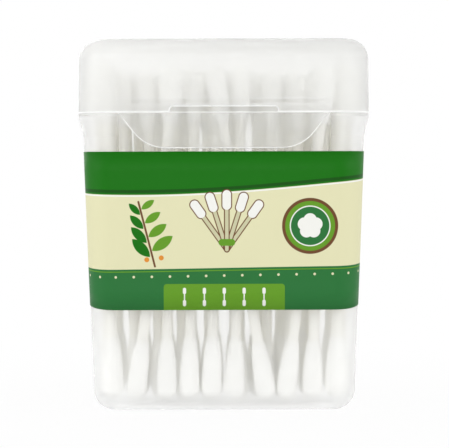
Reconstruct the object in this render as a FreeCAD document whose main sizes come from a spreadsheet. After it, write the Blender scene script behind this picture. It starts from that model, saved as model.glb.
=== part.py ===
"""Flip-top box of cotton swabs, with its wrap-round label and fifty swabs inside.

Frame: +Z up, origin at the middle of the base, front wall towards -Y. All sizes are in millimetres.
"""
import FreeCAD, Part
import math
import os
import Sketcher

Vector = FreeCAD.Vector

# Driving sizes: alias, value, what it is
SIZES = [
    ("swab_length", 75.0, "whole swab, tip to tip"),
    ("head_diameter", 4.8, "cotton head at its widest"),
    ("head_length", 13.5, "cotton head, tip to where it meets the stick"),
    ("head_tip_diameter", 2.0, "blunt end of the cotton head"),
    ("stick_diameter", 2.6, "paper stick"),
    ("swab_sides", 8, "flats round a swab, few because there are so many of them"),
    ("columns", 10, "swabs side by side"),
    ("rows", 5, "swabs from front to back"),
    ("swab_gap", 0.08, "least air between two swabs, or a swab and a wall"),
    ("side_play", 8.0, "spare width left beside the swabs on the floor"),
    ("depth_play", 2.9, "spare depth left behind the swabs on the floor"),
    ("wall_air", 0.35, "air between the front and back rows and the walls"),
    ("swing_air", 0.15, "air between the foremost heads and the tongue as the lid opens"),
    ("wall", 0.8, "moulded wall of box and lid"),
    ("floor_thickness", 1.0, "floor of the box"),
    ("base_recess", 0.5, "hollow under the floor, inside the foot"),
    ("foot_width", 2.6, "flat foot between the base edge radius and the hollow"),
    ("draft", 2.1, "degrees that each wall of the box leans outwards"),
    ("base_corner", 5.4, "upright corner radius of the box at the base"),
    ("base_edge", 4.6, "radius between walls and base"),
    ("swab_reveal", 10.1, "swabs standing above the rim"),
    ("headroom", 5.55, "air between upright swabs and the lid's crown"),
    ("flare_width", 1.1, "how far the wall steps out below the rim"),
    ("flare_height", 4.4, "height of the flared band"),
    ("rim_band", 0.8, "straight band at the rim"),
    ("parting_gap", 0.15, "air between rim and closed lid"),
    ("lid_draft", 0.6, "degrees that the lid's walls lean inwards"),
    ("crown_edge", 4.5, "radius between the lid's walls and its crown"),
    ("notch_half_width", 12.0, "thumb notch in the lid's front edge"),
    ("notch_height", 1.2, "height of the thumb notch"),
    ("notch_corner", 0.9, "corner radius of the thumb notch"),
    ("tongue_half_width", 23.3, "closing tongue at the parting line"),
    ("tongue_depth", 7.8, "how far the tongue reaches below the rim"),
    ("tongue_side", 38.0, "degrees that the tongue's sides lean in"),
    ("tongue_corner", 9.0, "radius of the tongue's lower corners"),
    ("tongue_thickness", 0.5, "tongue plate"),
    ("tongue_root", 2.4, "height of the tongue's root above the lid's edge"),
    ("tongue_setback", 1.0, "tongue behind the rim's inner face at the parting line"),
    ("tongue_lean", 5.5, "degrees that the tongue leans inwards below the rim"),
    ("hinge_width", 44.0, "moulded hinge web along the back"),
    ("hinge_thickness", 0.25, "hinge web"),
    ("hinge_reach", 0.7, "how far the web runs onto the rim and onto the lid"),
    ("label_below_flare", 3.4, "bare wall between the flared band and the label"),
    ("label_height", 35.1, "label band"),
    ("label_thickness", 0.12, "label stock"),
    ("label_glue", 0.02, "glue line behind the label"),
]

# Sideways lean of each swab of the front row, in degrees, left to right
FRONT_LEANS = [-1.2, 7.5, 0.6, 1.2, 1.3, 1.4, -9.0, 7.4, 1.5, 1.5]
# Shares of the spare floor width between neighbours of the front row, left to right
FRONT_SPREAD = [0.4, 1.5, 0.3, 0.4, 0.4, 1.0, 0.0, 0.3, 0.3]
# A swab that leans more than this passes in front of its neighbours at the top
CROSSING_LEAN = 4.0

# Lengthwise outline of a cotton head: share of its length from the tip, share of its widest radius
HEAD_OUTLINE = [(0.06, 0.80), (0.22, 1.0), (0.50, 0.93), (0.78, 0.66)]
# How strongly the places in the other rows bunch, under 1, and points tested round a head's rings
ROW_SWING = 0.9
RING_SAMPLES = 16

# Derived sizes, written as expressions on the sheet
FLOOR_TOP = "(Sizes.base_recess + Sizes.floor_thickness)"
RIM_HEIGHT = f"({FLOOR_TOP} + Sizes.swab_length - Sizes.swab_reveal)"
FLARE_START = f"({RIM_HEIGHT} - Sizes.rim_band - Sizes.flare_height)"
LABEL_BOTTOM = f"({FLARE_START} - Sizes.label_below_flare - Sizes.label_height)"
LID_EDGE = f"({RIM_HEIGHT} + Sizes.parting_gap)"
LID_HEIGHT = "(Sizes.swab_reveal + Sizes.headroom + Sizes.wall - Sizes.parting_gap)"
SWAB_PITCH = "(Sizes.head_diameter + Sizes.swab_gap)"
DRAFT_SLOPE = "tan(Sizes.draft * 1deg)"
INNER_WIDTH = f"(Sizes.columns * {SWAB_PITCH} + Sizes.side_play)"
INNER_DEPTH = f"(Sizes.rows * {SWAB_PITCH} + Sizes.depth_play)"
BASE_WIDTH = f"({INNER_WIDTH} + 2 * Sizes.wall - 2 * {FLOOR_TOP} * {DRAFT_SLOPE})"
BASE_DEPTH = f"({INNER_DEPTH} + 2 * Sizes.wall - 2 * {FLOOR_TOP} * {DRAFT_SLOPE})"
RIM_WIDTH = f"({BASE_WIDTH} + 2 * {FLARE_START} * {DRAFT_SLOPE} + 2 * Sizes.flare_width)"
RIM_DEPTH = f"({BASE_DEPTH} + 2 * {FLARE_START} * {DRAFT_SLOPE} + 2 * Sizes.flare_width)"
RIM_CORNER = f"(Sizes.base_corner + {FLARE_START} * {DRAFT_SLOPE} + Sizes.flare_width)"
INNER_CORNER = f"(Sizes.base_corner + {FLOOR_TOP} * {DRAFT_SLOPE} - Sizes.wall)"
INNER_EDGE = "(Sizes.base_edge - Sizes.wall)"
TONGUE_BEND_Y = f"(-{RIM_DEPTH} / 2 + Sizes.wall + Sizes.tongue_setback)"
TONGUE_TIP_Y = f"({TONGUE_BEND_Y} + Sizes.tongue_depth * tan(Sizes.tongue_lean * 1deg))"
WIDEST_AT = f"({HEAD_OUTLINE[1][0]} * Sizes.head_length)"
HEAD_SPACING = f"(Sizes.swab_length - 2 * {WIDEST_AT})"
HINGE_AXIS_Z = f"({RIM_HEIGHT} + Sizes.parting_gap / 2)"

doc = FreeCAD.newDocument("cotton_swab_box")


def make_sheet():
    """Put the driving sizes into a spreadsheet, one aliased cell each."""
    sheet = doc.addObject("Spreadsheet::Sheet", "Sizes")
    for row, (alias, number, meaning) in enumerate(SIZES, start=1):
        sheet.set(f"A{row}", alias)
        sheet.set(f"B{row}", str(number))
        sheet.setAlias(f"B{row}", alias)
        sheet.set(f"C{row}", meaning)
    doc.recompute()
    return sheet


sheet = make_sheet()


def value(expression):
    """Number that an expression on the sheet stands for."""
    result = sheet.evalExpression(expression.replace("Sizes.", ""))
    return float(getattr(result, "Value", result))


def new_body(name):
    """Empty body with its label."""
    body = doc.addObject("PartDesign::Body", name)
    body.Label = name
    return body


def new_sketch(body, name, plane, offset="0"):
    """Sketch on one of the body's own origin planes, moved along the plane's normal."""
    sketch = body.newObject("Sketcher::SketchObject", name)
    origin_plane = next(item for item in body.Origin.OriginFeatures if item.Role == plane)
    sketch.AttachmentSupport = [(origin_plane, "")]
    sketch.MapMode = "FlatFace"
    sketch.setExpression("AttachmentOffset.Base.z", offset)
    return sketch


def dimension(sketch, constraint, expression):
    """Add a driving dimension and bind it to the sheet."""
    index = sketch.addConstraint(constraint)
    sketch.setExpression(f"Constraints[{index}]", expression)


def rounded_rectangle(sketch, width, height, radius, centre_y="0"):
    """Rounded rectangle centred on the sketch's upright axis; sizes are expressions."""
    width, height = f"({width})", f"({height})"
    half_x, half_y, r = value(width) / 2, value(height) / 2, value(radius)
    middle = value(centre_y)
    low, high = middle - half_y, middle + half_y
    lines = [
        (Vector(-half_x + r, low, 0), Vector(half_x - r, low, 0)),
        (Vector(half_x, low + r, 0), Vector(half_x, high - r, 0)),
        (Vector(half_x - r, high, 0), Vector(-half_x + r, high, 0)),
        (Vector(-half_x, high - r, 0), Vector(-half_x, low + r, 0)),
    ]
    centres = [
        Vector(half_x - r, low + r, 0),
        Vector(half_x - r, high - r, 0),
        Vector(-half_x + r, high - r, 0),
        Vector(-half_x + r, low + r, 0),
    ]
    for start, end in lines:
        sketch.addGeometry(Part.LineSegment(start, end), False)
    for corner, centre in enumerate(centres):
        begin = (corner - 1) * math.pi / 2
        circle = Part.Circle(centre, Vector(0, 0, 1), r)
        sketch.addGeometry(Part.ArcOfCircle(circle, begin, begin + math.pi / 2), False)
    constraints = [Sketcher.Constraint("Horizontal", 0), Sketcher.Constraint("Vertical", 1)]
    constraints += [Sketcher.Constraint("Horizontal", 2), Sketcher.Constraint("Vertical", 3)]
    for corner in range(4):
        arc = 4 + corner
        constraints.append(Sketcher.Constraint("Tangent", corner, 2, arc, 1))
        constraints.append(Sketcher.Constraint("Tangent", arc, 2, (corner + 1) % 4, 1))
    constraints += [Sketcher.Constraint("Equal", 4, arc) for arc in (5, 6, 7)]
    sketch.addConstraint(constraints)
    dimension(sketch, Sketcher.Constraint("DistanceX", -1, 1, 1, 1, half_x), f"{width} / 2")
    dimension(sketch, Sketcher.Constraint("DistanceX", 3, 1, 1, 1, 2 * half_x), width)
    dimension(sketch, Sketcher.Constraint("DistanceY", 0, 1, 2, 1, 2 * half_y), height)
    dimension(sketch, Sketcher.Constraint("Radius", 4, r), radius)
    dimension(sketch, Sketcher.Constraint("DistanceY", -1, 1, 2, 1, high), f"{centre_y} + {height} / 2")


def closed_outline(sketch, points):
    """Closed polygon through points whose two coordinates are expressions."""
    count = len(points)
    places = [Vector(value(across), value(up), 0) for across, up in points]
    for index in range(count):
        sketch.addGeometry(Part.LineSegment(places[index], places[(index + 1) % count]), False)
    sketch.addConstraint(
        [Sketcher.Constraint("Coincident", index, 2, (index + 1) % count, 1) for index in range(count)]
    )
    for index, (across, up) in enumerate(points):
        place = places[index]
        dimension(sketch, Sketcher.Constraint("DistanceX", -1, 1, index, 1, place.x), across)
        dimension(sketch, Sketcher.Constraint("DistanceY", -1, 1, index, 1, place.y), up)


def pad(body, sketch, length, taper="0", midplane=False):
    """Pad a sketch; a positive taper widens it with height."""
    feature = body.newObject("PartDesign::Pad", sketch.Name + "_pad")
    feature.Profile = sketch
    feature.setExpression("Length", length)
    feature.setExpression("TaperAngle", taper)
    feature.Midplane = midplane
    doc.recompute()
    return feature


def pocket(body, sketch, length, taper="0", upwards=False):
    """Cut a sketch out of the body, and make sure that it removed something."""
    before = body.Shape.Volume
    feature = body.newObject("PartDesign::Pocket", sketch.Name + "_pocket")
    feature.Profile = sketch
    feature.Reversed = upwards
    feature.setExpression("Length", length)
    feature.setExpression("TaperAngle", taper)
    doc.recompute()
    if not body.Shape.Volume < before:
        raise RuntimeError(f"{feature.Name} cuts nothing")
    return feature


def round_level_edges(body, name, height, radius):
    """Round the edges that lie level at a height."""
    base = body.Tip
    chosen = []
    for index, edge in enumerate(base.Shape.Edges, start=1):
        box = edge.BoundBox
        level = abs(box.ZMin - height) < 0.01 and abs(box.ZMax - height) < 0.01
        if level:
            chosen.append(f"Edge{index}")
    feature = body.newObject("PartDesign::Fillet", name)
    feature.Base = (base, chosen)
    feature.setExpression("Radius", radius)
    doc.recompute()
    return feature


def make_box():
    """Tapered box with a flared rim, an edge radius all round its base and a hollow under the floor."""
    body = new_body("box")
    wide = new_sketch(body, "box_base", "XY_Plane")
    rounded_rectangle(wide, BASE_WIDTH, BASE_DEPTH, "Sizes.base_corner")
    pad(body, wide, FLARE_START, "Sizes.draft")

    neck_width = f"({RIM_WIDTH} - 2 * Sizes.flare_width)"
    neck_depth = f"({RIM_DEPTH} - 2 * Sizes.flare_width)"
    neck_corner = f"({RIM_CORNER} - Sizes.flare_width)"
    flare_angle = "atan(Sizes.flare_width / Sizes.flare_height)"
    flare = new_sketch(body, "box_flare", "XY_Plane", FLARE_START)
    rounded_rectangle(flare, neck_width, neck_depth, neck_corner)
    pad(body, flare, "Sizes.flare_height", flare_angle)

    band_start = f"({RIM_HEIGHT} - Sizes.rim_band)"
    band = new_sketch(body, "box_band", "XY_Plane", band_start)
    rounded_rectangle(band, RIM_WIDTH, RIM_DEPTH, RIM_CORNER)
    pad(body, band, "Sizes.rim_band")

    inside = new_sketch(body, "box_inside", "XY_Plane", FLOOR_TOP)
    rounded_rectangle(inside, INNER_WIDTH, INNER_DEPTH, INNER_CORNER)
    pocket(body, inside, f"{FLARE_START} - {FLOOR_TOP}", "Sizes.draft", upwards=True)

    flare_inside = new_sketch(body, "box_flare_inside", "XY_Plane", FLARE_START)
    rounded_rectangle(
        flare_inside,
        f"{neck_width} - 2 * Sizes.wall",
        f"{neck_depth} - 2 * Sizes.wall",
        f"{neck_corner} - Sizes.wall",
    )
    pocket(body, flare_inside, "Sizes.flare_height", flare_angle, upwards=True)

    band_inside = new_sketch(body, "box_band_inside", "XY_Plane", band_start)
    rounded_rectangle(
        band_inside,
        f"{RIM_WIDTH} - 2 * Sizes.wall",
        f"{RIM_DEPTH} - 2 * Sizes.wall",
        f"{RIM_CORNER} - Sizes.wall",
    )
    pocket(body, band_inside, "Sizes.rim_band", upwards=True)
    round_level_edges(body, "box_inside_edge", value(FLOOR_TOP), INNER_EDGE)
    round_level_edges(body, "box_base_edge", 0.0, "Sizes.base_edge")

    foot_inset = "(Sizes.base_edge + Sizes.foot_width)"
    hollow = new_sketch(body, "box_hollow", "XY_Plane")
    rounded_rectangle(
        hollow, f"{BASE_WIDTH} - 2 * {foot_inset}", f"{BASE_DEPTH} - 2 * {foot_inset}", "Sizes.foot_width"
    )
    pocket(body, hollow, "Sizes.base_recess", upwards=True)
    cut_hinge_seat(body, "box_hinge_seat", f"{RIM_HEIGHT} - Sizes.hinge_reach", "Sizes.hinge_reach")
    return body


def cut_hinge_seat(body, name, bottom, height):
    """Shallow step in the back wall's outer face, where the hinge web runs on."""
    seat = new_sketch(body, name, "XY_Plane", bottom)
    left, right = "-Sizes.hinge_width / 2", "Sizes.hinge_width / 2"
    near, far = f"{RIM_DEPTH} / 2 - Sizes.hinge_thickness", f"{RIM_DEPTH} / 2 + Sizes.wall"
    closed_outline(seat, [(left, near), (right, near), (right, far), (left, far)])
    pocket(body, seat, height, upwards=True)


def make_lid():
    """Shallow lid with a rounded crown, a thumb notch and the tongue that closes behind the front wall."""
    shell = new_body("lid_shell")
    edge = new_sketch(shell, "lid_edge", "XY_Plane", LID_EDGE)
    rounded_rectangle(edge, RIM_WIDTH, RIM_DEPTH, RIM_CORNER)
    pad(shell, edge, LID_HEIGHT, "-Sizes.lid_draft")
    crown = value(f"{LID_EDGE} + {LID_HEIGHT}")

    inside = new_sketch(shell, "lid_inside", "XY_Plane", LID_EDGE)
    rounded_rectangle(
        inside,
        f"{RIM_WIDTH} - 2 * Sizes.wall",
        f"{RIM_DEPTH} - 2 * Sizes.wall",
        f"{RIM_CORNER} - Sizes.wall",
    )
    pocket(shell, inside, f"{LID_HEIGHT} - Sizes.wall", "-Sizes.lid_draft", upwards=True)
    round_level_edges(
        shell, "lid_inside_edge", crown - value("Sizes.wall"), "Sizes.crown_edge - Sizes.wall"
    )
    round_level_edges(shell, "lid_crown_edge", crown, "Sizes.crown_edge")

    notch = new_sketch(shell, "thumb_notch", "XZ_Plane", f"{RIM_DEPTH} / 2 + Sizes.wall")
    rounded_rectangle(
        notch, "2 * Sizes.notch_half_width", "2 * Sizes.notch_height", "Sizes.notch_corner", LID_EDGE
    )
    pocket(shell, notch, "2.5 * Sizes.wall")
    cut_hinge_seat(shell, "lid_hinge_seat", LID_EDGE, "Sizes.hinge_reach")

    lid = doc.addObject("Part::Fuse", "lid")
    lid.Label = "lid"
    lid.Base = shell
    lid.Tool = make_tongue()
    doc.recompute()
    return lid


def make_tongue():
    """Thin plate that hangs from the lid's front wall and leans inwards, with a U-shaped outline."""
    plate = new_body("tongue_plate")
    section = new_sketch(plate, "tongue_section", "YZ_Plane")
    inner_face = f"(-{RIM_DEPTH} / 2 + Sizes.wall)"
    root_top = f"({LID_EDGE} + Sizes.tongue_root)"
    root_y = f"({inner_face} - Sizes.wall / 2)"
    tip_z = f"({RIM_HEIGHT} - Sizes.tongue_depth)"
    closed_outline(
        section,
        [
            (root_y, root_top),
            (TONGUE_BEND_Y, RIM_HEIGHT),
            (TONGUE_TIP_Y, tip_z),
            (f"{TONGUE_TIP_Y} + Sizes.tongue_thickness", tip_z),
            (f"{TONGUE_BEND_Y} + Sizes.tongue_thickness", RIM_HEIGHT),
            (f"{inner_face} + Sizes.tongue_thickness / 2", f"{root_top} + Sizes.tongue_thickness"),
            (root_y, f"{root_top} + Sizes.tongue_thickness"),
        ],
    )
    pad(plate, section, "2 * Sizes.tongue_half_width", midplane=True)

    outline = new_body("tongue_outline")
    face = new_sketch(outline, "tongue_face", "XZ_Plane", f"{RIM_DEPTH} / 2")
    side = "tan(Sizes.tongue_side * 1deg)"
    low_half = f"(Sizes.tongue_half_width - Sizes.tongue_depth * {side})"
    top = f"({root_top} + Sizes.tongue_thickness)"
    closed_outline(
        face,
        [
            (f"-{low_half}", tip_z),
            (low_half, tip_z),
            ("Sizes.tongue_half_width", RIM_HEIGHT),
            ("Sizes.tongue_half_width", top),
            ("-Sizes.tongue_half_width", top),
            ("-Sizes.tongue_half_width", RIM_HEIGHT),
        ],
    )
    thick = pad(outline, face, f"{RIM_DEPTH} / 2")
    thick.Reversed = True
    doc.recompute()
    corners = outline.newObject("PartDesign::Fillet", "tongue_corners")
    low_z = value(tip_z)
    chosen = [
        f"Edge{index}"
        for index, line in enumerate(thick.Shape.Edges, start=1)
        if abs(line.BoundBox.ZMax - low_z) < 0.01 and line.BoundBox.XLength < 0.01
    ]
    corners.Base = (thick, chosen)
    corners.setExpression("Radius", "Sizes.tongue_corner")
    doc.recompute()

    tongue = doc.addObject("Part::Common", "tongue")
    tongue.Base = plate
    tongue.Tool = outline
    doc.recompute()
    return tongue


def make_hinge_web():
    """Thin moulded web along the back that joins rim and lid and bends when the lid opens."""
    web = doc.addObject("Part::Box", "hinge_web")
    web.Label = "hinge_web"
    web.setExpression("Length", "Sizes.hinge_width")
    web.setExpression("Width", "Sizes.hinge_thickness")
    web.setExpression("Height", "2 * Sizes.hinge_reach + Sizes.parting_gap")
    web.setExpression("Placement.Base.x", "-Sizes.hinge_width / 2")
    web.setExpression("Placement.Base.y", f"{RIM_DEPTH} / 2 - Sizes.hinge_thickness")
    web.setExpression("Placement.Base.z", f"{RIM_HEIGHT} - Sizes.hinge_reach")
    doc.recompute()
    return web


def make_label():
    """Printed band wrapped all round the box, following its draft."""
    body = new_body("label")
    growth = f"(2 * {LABEL_BOTTOM} * {DRAFT_SLOPE} + 2 * Sizes.label_glue)"
    corner = f"(Sizes.base_corner + {growth} / 2)"
    outside = new_sketch(body, "label_outside", "XY_Plane", LABEL_BOTTOM)
    rounded_rectangle(
        outside,
        f"{BASE_WIDTH} + {growth} + 2 * Sizes.label_thickness",
        f"{BASE_DEPTH} + {growth} + 2 * Sizes.label_thickness",
        f"{corner} + Sizes.label_thickness",
    )
    pad(body, outside, "Sizes.label_height", "Sizes.draft")
    inside = new_sketch(body, "label_inside", "XY_Plane", LABEL_BOTTOM)
    rounded_rectangle(inside, f"{BASE_WIDTH} + {growth}", f"{BASE_DEPTH} + {growth}", corner)
    pocket(body, inside, "Sizes.label_height", "Sizes.draft", upwards=True)
    return body


def make_swab_pieces():
    """Paper stick and its two cotton heads, standing on the origin, to be repeated."""
    stick = doc.addObject("Part::Prism", "paper_stick")
    stick.setExpression("Polygon", "Sizes.swab_sides")
    stick.setExpression("Circumradius", "Sizes.stick_diameter / 2")
    stick.setExpression("Height", "Sizes.swab_length - 2 * Sizes.head_length")
    stick.setExpression("Placement.Base.z", "Sizes.head_length")

    rings = [("0", "Sizes.head_tip_diameter / 2")]
    for along, share in HEAD_OUTLINE:
        rings.append((f"{along} * Sizes.head_length", f"{share} * Sizes.head_diameter / 2"))
    rings.append(("Sizes.head_length", "Sizes.stick_diameter / 2"))
    sections = []
    for number, (height, radius) in enumerate(rings):
        ring = doc.addObject("Part::RegularPolygon", f"head_ring_{number}")
        ring.setExpression("Polygon", "Sizes.swab_sides")
        ring.setExpression("Circumradius", radius)
        ring.setExpression("Placement.Base.z", height)
        sections.append(ring)
    lower = doc.addObject("Part::Loft", "lower_head")
    lower.Sections = sections
    lower.Solid = True
    lower.Ruled = True
    doc.recompute()

    upper = doc.addObject("Part::Mirroring", "upper_head")
    upper.Source = lower
    upper.Normal = Vector(0, 0, 1)
    upper.setExpression("Base.z", "Sizes.swab_length / 2")
    doc.recompute()
    return [stick, lower, upper]


def bunching(share, swing, turns):
    """Shift of a place in a row, as a share of the row's spare width; swing under 1 keeps the order."""
    wave = 2 * math.pi * turns
    return swing * math.sin(wave * share) / wave


def floor_height(x, y):
    """Height of the cavity's floor at a point, with the radius that runs up to the walls."""
    corner, radius = value(INNER_CORNER), value(INNER_EDGE)
    beyond_x = max(abs(x) - (value(INNER_WIDTH) / 2 - corner), 0)
    beyond_y = max(abs(y) - (value(INNER_DEPTH) / 2 - corner), 0)
    run = min(max(math.hypot(beyond_x, beyond_y) - (corner - radius), 0), radius)
    return radius - math.sqrt(radius * radius - run * run)


def side_reach(y, growth):
    """How far to the side a head may stand at a depth, where the cavity has grown by its draft."""
    corner = value(INNER_CORNER)
    straight_x, straight_y = value(INNER_WIDTH) / 2 - corner, value(INNER_DEPTH) / 2 - corner
    room = corner + growth - value("Sizes.head_diameter") / 2 - value("Sizes.swab_gap")
    beyond = max(abs(y) - straight_y, 0)
    return straight_x + math.sqrt(max(room * room - beyond * beyond, 0))


def front_top_place(top_height):
    """Depth of the foremost heads' axes, just clear of the tongue's tip as the lid swings up."""
    hinge_y = value(RIM_DEPTH) / 2
    tip_y = value(f"{TONGUE_TIP_Y} + Sizes.tongue_thickness")
    swing = math.hypot(hinge_y - tip_y, value(f"Sizes.tongue_depth + {HINGE_AXIS_Z} - {RIM_HEIGHT}"))
    height = top_height - value(HINGE_AXIS_Z)
    path_y = hinge_y - math.sqrt(swing * swing - height * height)
    return path_y + value("Sizes.head_diameter") / 2 + value("Sizes.swing_air")


def front_row_feet(reach):
    """Places of the front row's feet, spaced so that leaning neighbours clear each other's heads."""
    columns, pitch = int(value("Sizes.columns")), value(SWAB_PITCH)
    leans = [math.tan(math.radians(FRONT_LEANS[place % len(FRONT_LEANS)])) for place in range(columns)]
    shares = [FRONT_SPREAD[place % len(FRONT_SPREAD)] for place in range(columns - 1)]
    half_head = value("Sizes.head_length") / 2
    closing = [max(left - right, 0) * half_head for left, right in zip(leans, leans[1:])]
    spare = 2 * reach - pitch * (columns - 1) - sum(closing)
    feet = [-reach]
    for share, extra in zip(shares, closing):
        feet.append(feet[-1] + pitch + extra + spare * share / sum(shares))
    return feet, leans


def swab_axes():
    """Places of every swab's lower and upper head, row by row from the front."""
    columns, rows = int(value("Sizes.columns")), int(value("Sizes.rows"))
    pitch, rise = value(SWAB_PITCH), value(HEAD_SPACING)
    growth = rise * value(DRAFT_SLOPE)
    head_room = value("Sizes.head_diameter / 2 + Sizes.wall_air")
    back_foot = value(INNER_DEPTH) / 2 - head_room
    back_top = back_foot + growth
    front_top = front_top_place(value(f"{FLOOR_TOP} + Sizes.swab_length"))
    second_top = back_top - (rows - 1) * pitch

    axes = []
    feet, leans = front_row_feet(side_reach(back_foot, 0.0))
    for foot, lean in zip(feet, leans):
        crosses = abs(lean) > math.tan(math.radians(CROSSING_LEAN))
        axes.append(((foot, -back_foot), (foot + lean * rise, front_top if crosses else second_top)))
    for row in range(1, rows):
        foot_y = -back_foot + 2 * back_foot * row / (rows - 1)
        top_y = second_top + pitch * row
        foot_reach, top_reach = side_reach(foot_y, 0.0), side_reach(top_y, growth)
        foot_spare = 2 * foot_reach - pitch * (columns - 1)
        top_spare = 2 * top_reach - pitch * (columns - 1)
        for column in range(columns):
            share = column / (columns - 1)
            foot_x = (2 * share - 1) * foot_reach + foot_spare * bunching(share, ROW_SWING, 1 + row % 2)
            top_x = (2 * share - 1) * top_reach - top_spare * bunching(share, ROW_SWING, 2 - row % 2)
            axes.append(((foot_x, foot_y), (top_x, top_y)))
    return axes


def seat_height(foot, direction):
    """How far a swab's foot is lifted by the radius round the floor."""
    head = value("Sizes.head_length")
    rings = [(0.0, value("Sizes.head_tip_diameter") / 2)]
    rings += [(along * head, share * value("Sizes.head_diameter") / 2) for along, share in HEAD_OUTLINE[:3]]
    tilt = math.hypot(direction.x, direction.y)
    lift = 0.0
    for height, ring in rings:
        for step in range(RING_SAMPLES):
            turn = 2 * math.pi * step / RING_SAMPLES
            x = foot[0] + direction.x * height + ring * math.cos(turn)
            y = foot[1] + direction.y * height + ring * math.sin(turn)
            lift = max(lift, floor_height(x, y) - height + ring * tilt)
    return lift


def make_swabs():
    """All swabs: copies of one stick and two heads, each stood on the floor along its own axis."""
    pieces = make_swab_pieces()
    widest_at, rise = value(WIDEST_AT), value(HEAD_SPACING)
    swabs = []
    for number, (low, high) in enumerate(swab_axes(), start=1):
        direction = Vector((high[0] - low[0]) / rise, (high[1] - low[1]) / rise, 1)
        foot = (low[0] - direction.x * widest_at, low[1] - direction.y * widest_at)
        height = value(f"{FLOOR_TOP} + Sizes.swab_gap") + seat_height(foot, direction)
        swab = doc.addObject("Part::Compound", f"swab_{number:02d}")
        swab.Label = f"swab_{number:02d}"
        swab.Links = pieces
        turn = FreeCAD.Rotation(Vector(0, 0, 1), direction)
        swab.Placement = FreeCAD.Placement(Vector(foot[0], foot[1], height), turn)
        swabs.append(swab)
    doc.recompute()
    return swabs


def write_parts(parts):
    """Check the document and every sub-part, then write one STEP file for each."""
    for item in doc.Objects:
        if "Invalid" in item.State or "Error" in item.State:
            raise RuntimeError(f"{item.Name} failed: {item.State}")
    os.makedirs("parts", exist_ok=True)
    for part in parts:
        if part.Shape.isNull() or not part.Shape.isValid():
            raise RuntimeError(f"{part.Label} has no valid shape")
        part.Shape.exportStep(os.path.join("parts", part.Label + ".step"))


write_parts([make_box(), make_lid(), make_hinge_web(), make_label()] + make_swabs())
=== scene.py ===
import math
import random

import bmesh
import bpy
import numpy as np
from mathutils import Matrix, Vector


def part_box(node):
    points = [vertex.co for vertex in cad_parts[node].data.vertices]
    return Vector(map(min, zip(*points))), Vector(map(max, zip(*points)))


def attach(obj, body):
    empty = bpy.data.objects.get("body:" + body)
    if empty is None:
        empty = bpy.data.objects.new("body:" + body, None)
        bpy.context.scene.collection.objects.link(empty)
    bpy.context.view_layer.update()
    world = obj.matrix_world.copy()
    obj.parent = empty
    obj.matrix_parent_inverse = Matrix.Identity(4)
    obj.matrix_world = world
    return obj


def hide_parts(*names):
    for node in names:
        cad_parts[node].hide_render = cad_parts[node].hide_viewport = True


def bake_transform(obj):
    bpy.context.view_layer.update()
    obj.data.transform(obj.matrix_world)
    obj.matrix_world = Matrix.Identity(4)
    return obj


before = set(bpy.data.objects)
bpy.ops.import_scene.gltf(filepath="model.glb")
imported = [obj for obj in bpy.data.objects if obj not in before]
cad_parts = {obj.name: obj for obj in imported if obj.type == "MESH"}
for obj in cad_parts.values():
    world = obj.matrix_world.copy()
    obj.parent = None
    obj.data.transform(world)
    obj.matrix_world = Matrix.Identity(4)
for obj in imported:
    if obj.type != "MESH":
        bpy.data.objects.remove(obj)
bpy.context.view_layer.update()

bl_info = {
    "name": "Cotton Swab Box",
    "version": (1, 0, 0),
    "blender": (4, 5, 0),
    "location": "View3D > Sidebar > Swab Box",
    "description": "Finishes a hinged box of cotton swabs: plastic, swabs, label, hinge and stage",
    "category": "Object",
}

MM = 0.001
SWAB_NODES = sorted(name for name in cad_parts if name.startswith("swab_"))
LABEL_LOW, LABEL_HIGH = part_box("label")
HINGE_LOW, HINGE_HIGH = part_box("hinge_web")
PICTURE_WIDTH = 449
SENSOR_WIDTH = 36.0

# Places of the colour sockets on a Mix node: two inputs and the output
COLOUR_A, COLOUR_B, COLOUR_MIXED = 6, 7, 2

# Noise scales over a metre, from the drift of the haze to the fibres of the cotton
HAZE_DRIFT, MOULD_GRAIN, EDGE_DRIFT = 45.0, 900.0, 120.0
COTTON_FIBRES, COTTON_TUFTS, PAPER_PULP = 1500.0, 420.0, 1100.0
LABEL_FIBRE, LABEL_WAVES, BACK_FIBRE = 700.0, 60.0, 800.0

# The print, in millimetres: softness of its outlines, then how the edges of its two bands wave
PRINT_EDGE = 0.09
UPPER_DROP, UPPER_SWING, UPPER_TURN = 6.9, 2.65, 0.7
FOOT_HEIGHT, FOOT_SWING = 9.35, 0.45

# Lines along the bands, each with its height over the band's edge and half its width
WHITE_LINE, DARK_LINE, FOOT_LINE = (-0.25, 0.16), (0.75, 0.35), (-0.55, 0.1)
DOT_PITCH, DOT_HEIGHT, DOT_RADIUS = 4.0, -1.7, 0.28

# Panel on the lower band, by its middle, half its width and height and its corner, and the swabs on it
PANEL_MIDDLE, PANEL_HALF, PANEL_CORNER = (0.0, 2.6), (13.4, 3.2), 0.7
ROW_PITCH, ROW_REACH, ROW_STICK, ROW_HEADS = 4.4, 11.0, (1.5, 4.3), ((1.2, 1.9), (3.9, 4.6))
ROW_STICK_RADIUS, ROW_HEAD_RADIUS = 0.13, 0.36

# Places of the three large signs from the middle of the print's foot
SPRIG_MIDDLE, FAN_FOOT, BADGE_MIDDLE = (-18.5, 17.6), (0.6, 13.4), (19.0, 18.6)

# Outline of a cotton head: share of its length before its widest place, then the powers of its two curves
HEAD_CREST = 0.23
DOME_POWERS, TAPER_POWERS = (2.5, 0.4), (1.7, 0.65)
DOME_RINGS, TAPER_RINGS, STICK_RINGS = 9, 16, 7

# Winding of the cotton: height of each kind's wave, then its weight
WINDING, LUMPS, RIDGES = (5.5 * MM, 0.5), (2.6 * MM, 0.8), (0.9 * MM, 0.35)

# Least turn between faces at an edge that gets a painted highlight bead, and how near the hinge's line a
# bead may come
SHARP_TURN = math.radians(40)
HINGE_Z = (HINGE_LOW.z + HINGE_HIGH.z) / 2
HINGE_CLEARANCE = 1.0 * MM

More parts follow.
